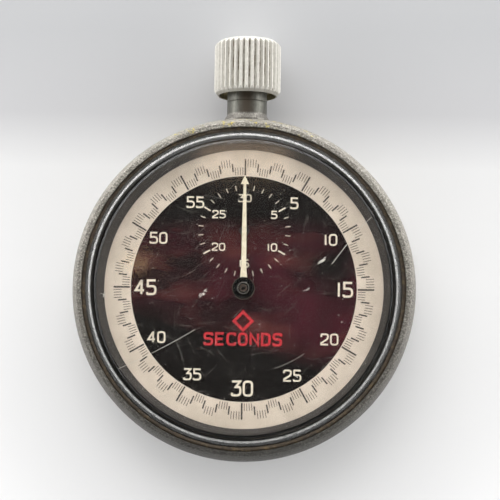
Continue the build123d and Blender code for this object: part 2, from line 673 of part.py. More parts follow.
def escape_wheel():
    """The escape wheel with fifteen raked club teeth."""
    step = 360 / ESCAPE_TEETH
    points = []
    for n in range(ESCAPE_TEETH):
        start = n * step
        points += [spot(1.95, start), spot(ESCAPE_RADIUS, start + 9), spot(ESCAPE_RADIUS - 0.06, start + 13),
                   spot(1.95, start + 9)]
    outline = crossed(make_face(Polyline(*points, close=True)), 1.6, 0.75, 0.35, 2, 0.35)
    return raised(outline, 4.72, 4.98, ESCAPE)


PALLET_REACH = 3.2
PALLET_SPREAD = 31


def pallet_fork():
    """The pallet fork and its arbor; its tail forks round the impulse pin's path."""
    arms = limb([spot(PALLET_REACH, ESCAPE_LINE - PALLET_SPREAD, ESCAPE), PALLET,
                 spot(PALLET_REACH, ESCAPE_LINE + PALLET_SPREAD, ESCAPE)], [0.16, 0.3, 0.16])
    tail = limb([PALLET, spot(2.5, ESCAPE_LINE, PALLET)], [0.35, 0.2])
    for side in (-8, 8):
        tail += limb([spot(2.4, ESCAPE_LINE, PALLET), spot(2.95, ESCAPE_LINE + side, PALLET)], [0.16, 0.12])
    fork = raised(arms + tail, 4.72, 4.98)
    return fork + arbor(PALLET, 4.35, (FINE_PIVOT, 4.65), (0.3, 6.55), (FINE_PIVOT, 7.0))


def pallet_stones():
    """The two pallet jewels, held just outside the escape wheel's tips."""
    stones = []
    for side in (-PALLET_SPREAD, PALLET_SPREAD):
        stones.append(Pos(*ESCAPE, 4.98) * Rot(0, 0, ESCAPE_LINE + side) * Pos(PALLET_REACH - 0.15, 0)
                      * Box(0.5, 0.26, 0.2, align=UPRIGHT))
    return joined(stones)


def balance_wheel():
    """The balance: a smooth rim on two arms, with timing screws round it."""
    wheel = disc(6.0, 3.55, 4.15, bore=5.45)
    wheel += raised(Circle(0.9) + Rectangle(11.1, 0.6), 3.75, 3.95)
    for n in range(12):
        wheel += Rot(0, 0, 15 + n * 30) * Pos(5.95, 0, 3.85) * Rot(0, 90, 0) * Cylinder(0.2, 0.26)
    return Pos(*BALANCE, 0) * (wheel - disc(0.45, 3.5, 4.2))


pieces["escape_wheel"] = escape_wheel()
pieces["escape_arbor"] = (arbor(ESCAPE, 2.7, (FINE_PIVOT, 3.35), (0.31, 4.7), (0.35, 6.5), (FINE_PIVOT, 7.1))
                          + leaves(ESCAPE_LEAVES, THIRD_MODULE, ESCAPE_LEAF_PHASE, 3.4, 3.85, ESCAPE))
pieces["pallet_fork"] = pallet_fork()
pieces["pallet_stones"] = pallet_stones()
pieces["balance_wheel"] = balance_wheel()
pieces["balance_staff"] = arbor(BALANCE, 2.4, (FINE_PIVOT, 3.05), (0.65, 3.45), (0.45, 4.3), (0.4, 6.5),
                                (FINE_PIVOT, 7.1))
pieces["impulse_roller"] = (disc(1.0, 4.3, 4.5, BALANCE, bore=0.4)
                            + disc(0.14, 4.5, 4.68, spot(0.75, ESCAPE_LINE + 180, BALANCE)))
hairspring_strip = spiral_strip(HAIRSPRING_INNER, HAIRSPRING_GROWTH, HAIRSPRING_HALF_TURNS, 0.05)
pieces["hairspring"] = raised(Rot(0, 0, COCK_HEADING) * hairspring_strip, 3.1, 3.4, BALANCE)
regulator_index = raised(limb([BALANCE, spot(4.6, 120, BALANCE)], [1.5, 0.25]), 1.75, 2.05)
pieces["regulator"] = regulator_index - disc(1.0, 1.75, 2.05, BALANCE)


# ---------------------------------------------------------------- minute counter and reset

HEART_MAX = 2.0
HEART_MIN = 0.75
HAMMER_CLEAR = 2.6


def heart(at, bore, heading):
    """A heart cam whose radius falls evenly from its point to its notch on both sides."""
    half = [spot(HEART_MAX - (HEART_MAX - HEART_MIN) * n / 8, n * 22.5) for n in range(9)]
    other = [(x, -y) for x, y in reversed(half[1:-1])]
    outline = Rot(0, 0, heading) * make_face(Polyline(*half, *other, close=True))
    return raised(outline - Circle(bore), HAMMER_LOW, HAMMER_TOP, at)


def reset_hammer():
    """The two-faced reset hammer: one face under each heart."""
    face_low = -HAMMER_CLEAR - 0.35
    face_high = COUNTER[1] - HAMMER_CLEAR - 0.35
    lower = limb([HAMMER_PIVOT, (-4.6, face_low), (-1.2, face_low), (1.2, face_low)], [0.9, 0.5, 0.35, 0.35])
    upper = limb([HAMMER_PIVOT, (-3.4, face_high), (-1.2, face_high), (1.2, face_high)], [0.9, 0.4, 0.35, 0.35])
    return raised(lower + upper, HAMMER_LOW, HAMMER_TOP) - disc(0.6, HAMMER_LOW, HAMMER_TOP, HAMMER_PIVOT)


def seconds_hand():
    """The sweep hand: a hub disc with its boss, a tapering blade and a barbed point."""
    half = [(-0.57, 1.6), (-0.41, 4.0), (-0.40, 6.0), (-0.37, 10.0), (-0.22, 17.3), (-0.68, 17.3),
            (-0.26, 18.2)]
    points = [*half, (0, 18.8), *[(-x, y) for x, y in reversed(half)]]
    blade = raised(make_face(Polyline(*points, close=True)), 10.12, 10.3)
    hub = disc(1.84, 10.1, 10.32) + disc(0.95, 10.32, 10.7)
    return (hub + blade) - disc(HAND_TUBE, 10.0, 10.8)


def minute_hand():
    """The counter's hand, a slim pointed blade on a flat hub."""
    blade = make_face(Polyline((-0.3, 0), (0.3, 0), (0.22, 5.4), (0, 6.3), (-0.22, 5.4), close=True))
    hand = raised(blade, 9.6, 9.75, COUNTER) + disc(0.85, 9.6, 9.8, COUNTER)
    return hand - disc(0.4, 9.6, 9.8, COUNTER)


pieces["seconds_heart"] = heart(CENTRE, SECONDS_SHAFT, 90)
pieces["seconds_hand"] = seconds_hand()
pieces["intermediate_wheel"] = train_wheel(INTERMEDIATE_TEETH, COUNTER_DRIVE_MODULE, INTERMEDIATE_PHASE,
                                           1.1, 0.4, 7.6, 7.8, INTERMEDIATE)
pieces["intermediate_arbor"] = (arbor(INTERMEDIATE, 6.7, (0.3, 7.52), (0.4, 8.3))
                                + leaves(LEAVES, COUNTER_MODULE, COUNTER_LEAF_PHASE, 7.95, 8.25, INTERMEDIATE))
pieces["minute_arbor"] = arbor(COUNTER, 6.7, (0.3, 7.52), (0.4, 9.85))
pieces["minute_wheel"] = train_wheel(MINUTE_TEETH, COUNTER_MODULE, MINUTE_PHASE, 1.2, 0.4, 8.0, 8.2, COUNTER)
pieces["minute_heart"] = heart(COUNTER, 0.4, 90)
pieces["minute_hand"] = minute_hand()
pieces["reset_hammer"] = reset_hammer()


# ---------------------------------------------------------------- control levers

COLUMN_RATCHET_TEETH = 18
COLUMNS = 6


def column_wheel():
    """The column wheel: a saw-toothed disc under six columns."""
    step = 360 / COLUMN_RATCHET_TEETH
    points = []
    for n in range(COLUMN_RATCHET_TEETH):
        points += [spot(2.6, n * step), spot(2.2, n * step + 2)]
    wheel = raised(make_face(Polyline(*points, close=True)), 1.4, 1.75)
    column = (Circle(2.1) - Circle(1.3)) & make_face(Polyline((0, 0), spot(4, -15), spot(4, 15), close=True))
    for n in range(COLUMNS):
        wheel += raised(Rot(0, 0, n * 360 / COLUMNS) * column, 1.75, LEVER_TOP)
    return Pos(*COLUMN_WHEEL, 0) * (wheel - disc(0.8, 1.4, LEVER_TOP))


def operating_lever():
    """The lever that the stem's collar swings, with an upright tab and a beak by the column wheel."""
    tab = (0, 19.6)
    beak = spot(3.3, 60, COLUMN_WHEEL)
    lever = raised(limb([tab, OPERATING_PIVOT, beak], [0.7, 1.2, 0.35]), LEVER_LOW, LEVER_TOP)
    lever += disc(0.25, LEVER_TOP, 5.05, tab)
    lever += disc(0.3, 1.45, LEVER_LOW, beak)
    return lever - disc(0.6, LEVER_LOW, LEVER_TOP, OPERATING_PIVOT)


def brake_lever():
    """The lever that stops the balance, with an upright whip beside the rim."""
    whip = (-12.2, -0.9)
    nose = spot(2.75, 190, COLUMN_WHEEL)
    lever = raised(limb([nose, BRAKE_PIVOT, whip], [0.3, 1.0, 0.4]), LEVER_LOW, LEVER_TOP)
    lever += disc(0.25, LEVER_TOP, 3.95, whip)
    return lever - disc(0.6, LEVER_LOW, LEVER_TOP, BRAKE_PIVOT)


def column_jumper():
    """The fixed jumper spring whose tip steadies the column wheel."""
    tip = spot(2.85, 150, COLUMN_WHEEL)
    spring = raised(limb([COLUMN_JUMPER_FOOT, (-16.6, 9.8), tip], [0.8, 0.25, 0.15]), 1.45, 1.75)
    spring += disc(0.8, 1.75, BRIDGE_LOW, COLUMN_JUMPER_FOOT)
    return spring + disc(0.4, BRIDGE_LOW, BRIDGE_TOP, COLUMN_JUMPER_FOOT)


def pivot_post(at, radius, head, low, high, stub, stub_end):
    """A shouldered pivot: head, bearing and a stub in its plate."""
    return disc(head, low - 0.25, low, at) + disc(radius, low, high, at) + disc(stub, high, stub_end, at)


def lever_pivots():
    """The shouldered pivots of the column wheel, the two levers and the reset hammer."""
    posts = [
        pivot_post(COLUMN_WHEEL, 0.75, 1.1, 1.35, BRIDGE_LOW, 0.4, BRIDGE_TOP),
        pivot_post(OPERATING_PIVOT, 0.55, 0.95, LEVER_LOW - 0.05, BRIDGE_LOW, 0.4, BRIDGE_TOP),
        pivot_post(BRAKE_PIVOT, 0.55, 0.95, LEVER_LOW - 0.05, BRIDGE_LOW, 0.4, BRIDGE_TOP),
        disc(0.55, PLATE_TOP, 8.73, HAMMER_PIVOT) + disc(0.9, 8.73, 8.87, HAMMER_PIVOT),
    ]
    return joined(posts)


pieces["column_wheel"] = column_wheel()
pieces["operating_lever"] = operating_lever()
pieces["brake_lever"] = brake_lever()
pieces["column_jumper"] = column_jumper()
pieces["lever_pivots"] = lever_pivots()


os.makedirs("parts", exist_ok=True)
for name, piece in pieces.items():
    export_step(piece, f"parts/{name}.step")
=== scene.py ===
"""Looks for the mechanical stopwatch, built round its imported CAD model.

Row frame: the watch lies on its back at z = 0, +Z out through the dial, +Y towards the crown.
Lengths in this script are millimetres until they are turned into metres by MM.
"""
import json
import math
import random

import bpy
from mathutils import Matrix, Vector


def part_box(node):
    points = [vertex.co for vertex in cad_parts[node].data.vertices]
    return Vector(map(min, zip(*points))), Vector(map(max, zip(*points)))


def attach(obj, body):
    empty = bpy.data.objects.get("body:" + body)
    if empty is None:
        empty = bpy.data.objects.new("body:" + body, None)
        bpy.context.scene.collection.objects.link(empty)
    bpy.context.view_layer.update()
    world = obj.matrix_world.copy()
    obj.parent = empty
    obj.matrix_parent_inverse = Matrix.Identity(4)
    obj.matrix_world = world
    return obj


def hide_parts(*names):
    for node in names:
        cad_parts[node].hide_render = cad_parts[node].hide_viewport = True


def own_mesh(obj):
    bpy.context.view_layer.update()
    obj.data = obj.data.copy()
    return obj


MM = 0.001
ROOT = "case"

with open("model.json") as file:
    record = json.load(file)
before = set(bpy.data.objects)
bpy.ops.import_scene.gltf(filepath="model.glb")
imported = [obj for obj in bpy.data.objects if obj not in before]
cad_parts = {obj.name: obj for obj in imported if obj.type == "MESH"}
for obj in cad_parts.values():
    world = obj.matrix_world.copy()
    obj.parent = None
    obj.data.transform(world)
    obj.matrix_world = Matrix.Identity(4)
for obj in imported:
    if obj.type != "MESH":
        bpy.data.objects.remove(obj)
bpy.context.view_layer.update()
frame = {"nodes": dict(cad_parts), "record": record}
slots = {part["node"]: part["material_slot"] for part in frame["record"]["subparts"]}


# ---------------------------------------------------------------- places, read from the frame

def box_mm(node):
    """A CAD node's lowest and highest corners in millimetres."""
    low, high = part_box(node)
    return Vector(low) / MM, Vector(high) / MM


DIAL_TOP = box_mm("flange_ring")[0].z
COUNTER_Y = sum(corner.y for corner in box_mm("minute_arbor")) / 2
CRYSTAL_TOP = box_mm("crystal")[1].z
CROWN_AXIS_Z = sum(corner.z for corner in box_mm("crown")) / 2
CROWN_RIM = box_mm("crown")[0].y
CROWN_TOP = box_mm("crown")[1].y
HUB_TOP = box_mm("seconds_hand")[1].z
GROOVE_TOP = box_mm("crystal_gasket")[1].z
GROOVE = (box_mm("crystal")[1].x + 0.01, box_mm("crystal_gasket")[1].x + 0.02)

# Thickness of the ring's enamel and of printing on the dial, and of the ink on the ring.
PRINT = 0.02
INK = 0.01
RING_INNER = 18.72
RING_OUTER = 23.14
DOME_EDGE_RADIUS = 24.5
DOME_DROP = 1.0

# Levels of the light tent by height: 0 is the horizon and 1 is straight above.
TENT_LEVELS = ((0.06, 1.0), (0.40, 0.9), (0.54, 0.08), (0.86, 0.05), (0.94, 0.003))
# The tent's strength at its -Y end and its +Y end.
TENT_SIDES = (2.2, 7.6)
# Tones of the floor from -Y to +Y, as shares of the way between the two ends; the floor darkens towards +Y as
# painted shade.
FLOOR_ENDS = (-60, 60)
FLOOR_SHADE_TONES = [(0.0, (0.83, 0.83, 0.83)), (0.52, (0.80, 0.80, 0.80)), (0.68, (0.72, 0.72, 0.72)),
               (0.76, (0.51, 0.51, 0.52)), (0.88, (0.46, 0.465, 0.475))]

# Ticks: inner radius, outer radius and width.
FIVE_SECOND_TICK = (18.87, 21.6, 0.27)
SECOND_TICK = (19.5, 20.93, 0.24)
EVEN_FIFTH_TICK = (20.3, 21.6, 0.105)
ODD_FIFTH_TICK = (18.95, 20.2, 0.105)
FIVE_MINUTE_TICK = (6.55, 7.8, 0.22)
MINUTE_TICK = (6.86, 7.68, 0.105)
# Lettering: height, width, stroke and gap.
QUARTER_LETTERS = (2.62, 1.72, 0.35, 0.2)
SECOND_LETTERS = (1.96, 1.38, 0.27, 0.2)
MINUTE_LETTERS = (1.34, 1.04, 0.2, 0.14)
WORD_LETTERS = (2.2, 1.62, 0.40, 0.28)
SECOND_NUMERAL_RADIUS = 16.5
MINUTE_NUMERAL_RADIUS = 5.45
CORNER_SHARE = 0.34

# Wear on the crystal.
WEAR_SEED = 11
DIRT_SEED = 7
# How far marks reach under and over the dome.
MARK_LOW, MARK_HIGH = -0.004, 0.003
CHIP_STROKES = 10
SPECKS = 520
SPECK_REACH = 23.8
SPECK_SIZES = (0.04, 0.05, 0.05, 0.07, 0.10)
HAIRLINES = 240
HAIRLINE_REACH = 24.0
HAIRLINE_WIDTHS = (0.008, 0.012, 0.016)
# The shoulder's section is an arc; the belt lies on it from one angle to the next, in degrees.
SHOULDER_CENTRE = (24.36, 12.05)
BELT_RADII = (1.755, 1.735)
BELT_ANGLES = (68, 65, 62, 59, 56)


def dome_height(radius):
    """The height of the crystal's outer dome at a radius."""
    sphere = (DOME_EDGE_RADIUS ** 2 + DOME_DROP ** 2) / (2 * DOME_DROP)
    return CRYSTAL_TOP - sphere + math.sqrt(sphere ** 2 - min(radius, DOME_EDGE_RADIUS) ** 2)


def clock(radius, turns, centre=(0, 0)):
    """The point at a radius and a share of a turn clockwise from twelve o'clock."""
    angle = math.tau * turns
    return (centre[0] + radius * math.sin(angle), centre[1] + radius * math.cos(angle))


# ---------------------------------------------------------------- camera, floor and light

def look(thing, place, target, roll=0.0):
    """Puts a camera or lamp at a place, looking at a target, with +Y up in its view."""
    thing.location = Vector(place) * MM
    forward = (Vector(target) - Vector(place)).normalized()
    right = forward.cross(Vector((0, 1, 0))).normalized()
    upward = right.cross(forward)
    thing.rotation_euler = Matrix((right, upward, -forward)).transposed().to_euler()
    thing.rotation_euler.rotate_axis("Z", math.radians(roll))


def make_camera():
    """A long lens nearly square on to the dial, from slightly below and to the right."""
    distance = 240
    below, right = math.radians(3.5), math.radians(2.0)
    data = bpy.data.cameras.new("camera")
    data.lens = 104
    data.sensor_width = 36
    data.clip_start = 0.01
    camera = bpy.data.objects.new("camera", data)
    bpy.context.scene.collection.objects.link(camera)
    dial = Vector((0, 0, DIAL_TOP))
    place = dial + distance * Vector((math.sin(right), -math.sin(below), math.cos(below)))
    look(camera, place, dial + Vector((0.96, 6.45, 0)), roll=0.85)
    bpy.context.scene.camera = camera


def soft_box(name, place, target, size, watts, colour=(1, 1, 1)):
    """A rectangular soft lamp."""
    data = bpy.data.lights.new(name, "AREA")
    data.shape = "RECTANGLE"
    data.size, data.size_y = size[0] * MM, size[1] * MM
    data.energy = watts
    data.color = colour
    lamp = bpy.data.objects.new(name, data)
    bpy.context.scene.collection.objects.link(lamp)
    look(lamp, place, target)


def make_world():
    """A light tent, bright low down and towards the crown, dark overhead where the crystal mirrors it."""
    world = bpy.data.worlds.new("tent")
    bpy.context.scene.world = world
    world.use_nodes = True
    tree = world.node_tree
    background = tree.nodes["Background"]
    split = tree.nodes.new("ShaderNodeSeparateXYZ")
    tree.links.new(tree.nodes.new("ShaderNodeTexCoord").outputs["Generated"], split.inputs[0])
    height = tree.nodes.new("ShaderNodeValToRGB")
    tree.links.new(split.outputs["Z"], height.inputs[0])
    levels = height.color_ramp
    levels.elements[0].color = (0.5, 0.5, 0.5, 1)
    levels.elements[1].color = (0.002, 0.002, 0.002, 1)
    for position, level in TENT_LEVELS:
        levels.elements.new(position).color = (level, level, level, 1)
    side = tree.nodes.new("ShaderNodeMapRange")
    for name, value in zip(("From Min", "From Max", "To Min", "To Max"), (-1.0, 1.0, *TENT_SIDES)):
        side.inputs[name].default_value = value
    tree.links.new(split.outputs["Y"], side.inputs["Value"])
    tree.links.new(height.outputs["Color"], background.inputs["Color"])
    tree.links.new(side.outputs[0], background.inputs["Strength"])


def make_floor():
    """A pale floor, darkening along it towards +Y as painted shade."""
    half = 400 * MM
    mesh = bpy.data.meshes.new("floor")
    corners = [(-half, -half, 0), (half, -half, 0), (half, half, 0), (-half, half, 0)]
    mesh.from_pydata(corners, [], [(0, 1, 2, 3)])
    floor = bpy.data.objects.new("floor", mesh)
    bpy.context.scene.collection.objects.link(floor)
    paint = Paint("floor_paint")
    paint.set(colour=paint.ramp(paint.axis("Y", *FLOOR_ENDS), FLOOR_SHADE_TONES), roughness=0.9)
    mesh.materials.append(paint.material)


# ---------------------------------------------------------------- materials

SOCKETS = {"colour": "Base Color", "roughness": "Roughness", "metallic": "Metallic", "ior": "IOR",
           "alpha": "Alpha", "transmission_weight": "Transmission Weight",
           "specular_ior_level": "Specular IOR Level"}


class Paint:
    """A Principled material under construction, with the few textures used here in millimetres."""

    def __init__(self, name):
        self.material = bpy.data.materials.new(name)
        self.material.use_nodes = True
        self.tree = self.material.node_tree
        self.shader = self.tree.nodes["Principled BSDF"]
        place = self.add("TexCoord")
        self.place = self.add("VectorMath", {0: place.outputs["Object"], 1: (1000, 1000, 1000)},
                              operation="MULTIPLY").outputs[0]

    def put(self, socket, value):
        """Links another socket to a socket, or sets its value; a colour needs no alpha."""
        if isinstance(value, bpy.types.NodeSocket):
            self.tree.links.new(value, socket)
        elif socket.type == "RGBA":
            socket.default_value = (*value, 1)
        else:
            socket.default_value = value

    def add(self, kind, inputs=None, **settings):
        """A node with its settings, and its inputs linked or set."""
        node = self.tree.nodes.new("ShaderNode" + kind)
        for name, value in settings.items():
            setattr(node, name, value)
        for name, value in (inputs or {}).items():
            self.put(node.inputs[name], value)
        return node

    def math(self, operation, a, b=0.0, clamp=False):
        """A maths node's value."""
        return self.add("Math", {0: a, 1: b}, operation=operation, use_clamp=clamp).outputs[0]

    def noise(self, per_mm, detail=2.0, rough=0.5, stretch=None):
        """Noise with about that many blotches in a millimetre."""
        place = self.place
        if stretch:
            place = self.add("VectorMath", {0: place, 1: stretch}, operation="MULTIPLY").outputs[0]
        return self.add("TexNoise", {"Vector": place, "Scale": per_mm, "Detail": detail,
                                     "Roughness": rough}).outputs["Fac"]

    def split(self, name):
        """One coordinate in millimetres."""
        return self.add("SeparateXYZ", {0: self.place}).outputs[name]

    def axis(self, name, low, high):
        """0 to 1 between two places along an axis."""
        return self.add("MapRange", {"Value": self.split(name), "From Min": low, "From Max": high}).outputs[0]

    def reach(self, centre, axes="XY"):
        """The distance in millimetres from an axis through a centre."""
        first = self.math("SUBTRACT", self.split(axes[0]), centre[0])
        second = self.math("SUBTRACT", self.split(axes[1]), centre[1])
        squares = self.math("ADD", self.math("MULTIPLY", first, first), self.math("MULTIPLY", second, second))
        return self.math("SQRT", squares)

    def step(self, value, low, high):
        """0 to 1 as a value passes from low to high."""
        return self.add("MapRange", {"Value": value, "From Min": low, "From Max": high}).outputs[0]

    def between(self, share, low, high):
        """A number between two, by a share of 0 to 1."""
        return self.add("MapRange", {"Value": share, "To Min": low, "To Max": high}).outputs[0]

    def ramp(self, value, stops):
        """Colours along a value."""
        node = self.add("ValToRGB", {0: value})
        ramp = node.color_ramp
        while len(ramp.elements) > 1:
            ramp.elements.remove(ramp.elements[-1])
        ramp.elements[0].position, ramp.elements[0].color = stops[0][0], (*stops[0][1], 1)
        for position, colour in stops[1:]:
            ramp.elements.new(position).color = (*colour, 1)
        return node.outputs["Color"]

    def mix(self, share, a, b):
        """One colour over another."""
        node = self.add("Mix", data_type="RGBA")
        for socket, value in ((node.inputs[0], share), (node.inputs[6], a), (node.inputs[7], b)):
            self.put(socket, value)
        return node.outputs[2]

    def bump(self, height, depth_mm, strength=1.0):
        """A bump from a height of 0 to 1."""
        normal = self.add("Bump", {"Height": height, "Strength": strength, "Distance": depth_mm * MM})
        self.tree.links.new(normal.outputs[0], self.shader.inputs["Normal"])

    def set(self, **values):
        """Sets the shader's sockets, by link or by value."""
        for name, value in values.items():
            self.put(self.shader.inputs[SOCKETS[name]], value)


def srgb(red, green, blue):
    """A colour given as 0 to 255 display values."""
    shares = [level / 255 for level in (red, green, blue)]
    return tuple(share / 12.92 if share <= 0.04045 else ((share + 0.055) / 1.055) ** 2.4 for share in shares)


def case_paint():
    """Grey grit-blasted metal, with painted shade darkening it towards -Y, and a few flecks of old yellow paint
    near the crown.
    """
    paint = Paint("case_paint")
    grain = paint.noise(3.6, 3, 0.65)
    blotch = paint.noise(0.45, 3, 0.6)
    base = paint.ramp(blotch, [(0.25, srgb(106, 102, 94)), (0.5, srgb(138, 133, 123)),
                               (0.75, srgb(164, 158, 148))])
    speck = paint.ramp(grain, [(0.36, srgb(48, 46, 42)), (0.5, srgb(122, 118, 110)),
                               (0.64, srgb(214, 210, 200))])
    grey = paint.mix(0.6, base, speck)
    # painted shade: the grey darkens towards -Y
    grey = paint.mix(paint.axis("Y", 14, -26), grey, paint.mix(0.85, grey, srgb(16, 16, 15)))
    fleck = paint.step(paint.noise(0.9, 5, 0.75), 0.60, 0.63)
    upper = paint.math("MULTIPLY", paint.axis("Y", 24.6, 25.6), paint.step(paint.split("X"), 13, 11))
    yellow = paint.math("MULTIPLY", fleck, upper, clamp=True)
    paint.set(colour=paint.mix(yellow, grey, srgb(190, 172, 58)), roughness=paint.step(grain, 0.0, 1.1),
              metallic=0.3)
    paint.bump(grain, 0.16)
    return paint.material


def clear_plastic():
    """Clear acrylic that lets lamps through, with painted shade in its wall: near black there, where it would
    otherwise trap light.
    """
    paint = Paint("crystal")
    reach = paint.reach((0, 0))
    # painted shade: near black in the wall, from about 24.2 to 24.5 mm out, rising to grey beyond
    tint_with_painted_light = paint.ramp(paint.step(reach, 23.0, 26.0), [
        (0.20, (0.99, 0.99, 0.985)), (0.333, (0.7, 0.7, 0.7)), (0.383, (0.003, 0.003, 0.003)),
        (0.50, (0.003, 0.003, 0.003)), (0.583, (0.4, 0.4, 0.4)), (0.70, (0.85, 0.85, 0.83))])
    paint.set(colour=tint_with_painted_light, roughness=paint.between(paint.step(reach, 23.9, 24.5), 0.09, 0.14), ior=1.49,
              transmission_weight=1.0, specular_ior_level=0.9)
    through = paint.add("BsdfTransparent", {"Color": (0.97, 0.97, 0.96)})
    rays = paint.add("LightPath")
    both = paint.add("MixShader", {0: rays.outputs["Is Shadow Ray"], 1: paint.shader.outputs[0],
                                   2: through.outputs[0]})
    paint.tree.links.new(both.outputs[0], paint.tree.nodes["Material Output"].inputs["Surface"])
    return paint.material


def dial_lacquer():
    """Black lacquer with a painted burgundy reflection, cloudy, across the middle, and lighter painted highlights
    streaked within it.
    """
    paint = Paint("dial")
    # painted reflection: a cloudy burgundy stripe across the middle of the dial
    cloud = paint.step(paint.noise(0.085, 2, 0.5, stretch=(1, 1.7, 1)), 0.30, 0.60)
    height = paint.split("Y")
    slanted = paint.math("ADD", height, paint.math("MULTIPLY", paint.split("X"), 0.3))
    reflection_band = paint.math("MULTIPLY", paint.step(height, 12, 5), paint.step(slanted, -10, -4))
    painted_reflection = paint.math("MULTIPLY", reflection_band, cloud, clamp=True)
    # painted highlight: lighter brownish streaks within the painted reflection
    streak = paint.step(paint.noise(0.16, 3, 0.5, stretch=(0.5, 1.6, 1)), 0.45, 0.75)
    painted_highlight = paint.math("MULTIPLY", painted_reflection, streak, clamp=True)
    tint_with_painted_light = paint.mix(painted_reflection, srgb(22, 20, 19), srgb(59, 27, 33))
    paint.set(colour=paint.mix(painted_highlight, tint_with_painted_light, srgb(92, 52, 48)), roughness=0.16)
    return paint.material


def ring_enamel():
    """The pinkish cream of the seconds ring, unevenly aged."""
    paint = Paint("ring_enamel")
    age = paint.noise(0.25, 4, 0.6)
    paint.set(colour=paint.ramp(age, [(0.3, srgb(202, 188, 171)), (0.7, srgb(220, 206, 190))]), roughness=0.6)
    paint.bump(paint.noise(6, 2), 0.01)
    return paint.material


def plain_print(name, colour, worn):
    """Printing ink, with a slight unevenness."""
    paint = Paint(name)
    paint.set(colour=paint.mix(paint.step(paint.noise(2.5, 3), 0.35, 0.7), colour, worn), roughness=0.6)
    return paint.material


def aged_lume(paint):
    """Old cream paint, as on both hands."""
    return paint.ramp(paint.noise(1.6, 4, 0.7), [(0.35, srgb(206, 196, 168)), (0.65, srgb(226, 217, 194))])


def hand_paint():
    """The sweep hand: cream outside the hub, glossier black lacquer on it."""
    paint = Paint("hand_paint")
    outside = paint.step(paint.reach((0, 0)), 1.80, 1.88)
    paint.set(colour=paint.mix(outside, srgb(9, 8, 8), aged_lume(paint)),
              roughness=paint.between(outside, 0.22, 0.5))
    paint.bump(paint.noise(4, 3), 0.02)
    return paint.material


def minute_hand_paint():
    """The counter's hand: cream blade, black hub."""
    paint = Paint("minute_hand_paint")
    outside = paint.step(paint.reach((0, COUNTER_Y)), 0.9, 0.95)
    paint.set(colour=paint.mix(outside, srgb(20, 17, 16), aged_lume(paint)), roughness=0.5)
    return paint.material


def crown_metal():
    """Matt pale aluminium: brown dirt down in the flutes, a darker foot, old grime inside the skirt."""
    paint = Paint("crown_metal")
    reach = paint.reach((0, CROWN_AXIS_Z), "XZ")
    along = paint.split("Y")
    valley = paint.step(reach, 5.36, 5.2)
    flutes = paint.math("MULTIPLY", paint.step(along, CROWN_TOP - 0.6, CROWN_TOP - 0.9),
                        paint.step(along, CROWN_RIM + 0.4, CROWN_RIM + 0.6))
    patches = paint.step(paint.noise(0.8, 5, 0.75, stretch=(1, 0.4, 1)), 0.44, 0.58)
    dirt = paint.math("MULTIPLY", paint.math("MULTIPLY", valley, flutes), patches, clamp=True)
    bright = paint.ramp(paint.noise(2.0, 3), [(0.3, srgb(186, 183, 175)), (0.7, srgb(202, 199, 191))])
    colour = paint.mix(dirt, bright, srgb(104, 90, 66))
    colour = paint.mix(paint.step(along, CROWN_RIM + 0.55, CROWN_RIM + 0.35), colour, srgb(146, 143, 134))
    recess = paint.math("MULTIPLY", paint.step(along, CROWN_RIM + 1.6, CROWN_RIM + 1.4),
                        paint.step(reach, 4.84, 4.78), clamp=True)
    grime = paint.ramp(paint.noise(1.1, 4, 0.7), [(0.35, srgb(128, 118, 82)), (0.65, srgb(196, 188, 152))])
    paint.set(colour=paint.mix(recess, colour, grime), roughness=0.45, metallic=0.12)
    paint.bump(paint.noise(9, 2), 0.012)
    return paint.material


def worn_metal(name, dark, light, roughness, metallic=0.9, grain=5.0, stretch=None, depth=0.01):
    """Metal with fine grain between two tones."""
    paint = Paint(name)
    streak = paint.noise(grain, 3, 0.6, stretch)
    paint.set(colour=paint.ramp(streak, [(0.3, dark), (0.7, light)]), metallic=metallic,
              roughness=paint.step(streak, -1.0 + roughness, 2.0 + roughness))
    paint.bump(streak, depth)
    return paint.material


def flange_black():
    """The dark satin flange, dusty, with a painted reflection making it greyer towards its outer edge."""
    paint = Paint("flange")
    reach = paint.reach((0, 0))
    mottle = paint.noise(1.2, 4, 0.7)
    # painted reflection: the colour lightens towards the outer edge, then darkens at the very edge
    shade = paint.ramp(paint.step(reach, 23.1, 24.7), [(0.0, srgb(30, 27, 25)), (0.45, srgb(54, 49, 45)),
                                                       (0.85, srgb(84, 78, 72)), (1.0, srgb(44, 40, 37))])
    dust_and_reflection = paint.mix(paint.step(mottle, 0.3, 0.8), shade, srgb(44, 40, 37))
    fluff = paint.step(paint.noise(3.5, 4, 0.8), 0.66, 0.72)
    paint.set(colour=paint.mix(fluff, dust_and_reflection, srgb(120, 112, 102)), roughness=0.4)
    return paint.material


def old_gasket():
    """Brown sealing compound and dirt."""
    paint = Paint("gasket")
    clump = paint.noise(1.4, 5, 0.7)
    dirt = paint.ramp(clump, [(0.3, srgb(40, 34, 28)), (0.55, srgb(68, 57, 44)), (0.75, srgb(112, 96, 68))])
    paint.set(colour=dirt, roughness=0.85)
    paint.bump(clump, 0.08)
    return paint.material


